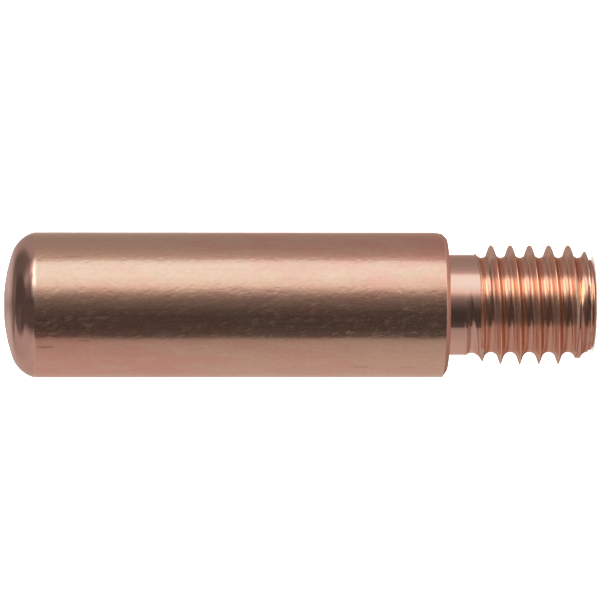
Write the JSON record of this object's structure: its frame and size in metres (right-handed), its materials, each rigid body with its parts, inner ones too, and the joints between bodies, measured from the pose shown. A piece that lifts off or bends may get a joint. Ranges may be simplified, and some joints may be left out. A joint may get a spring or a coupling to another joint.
{
  "type": "welding contact tip",
  "caption": "Turned copper tip with a domed nose, a threaded shank behind a square shoulder, and a fine bore that guides and feeds current to the welding wire.",
  "frame": {"origin": "centre of the rear end face, at the end of the threaded shank", "axes": "+Z along the axis to the nose; +X and +Y across it, with +X on the side where the first thread crest is 0.36 mm above the end face"},
  "size_m": [0.0094, 0.0094, 0.0381],
  "materials": {
    "copper": "drawn bar with fine lengthwise streaks; the nose, neck and thread freshly turned and brighter"
  },
  "bodies": {
    "root": {"contact_tip": "copper"}
  },
  "joints": []
}
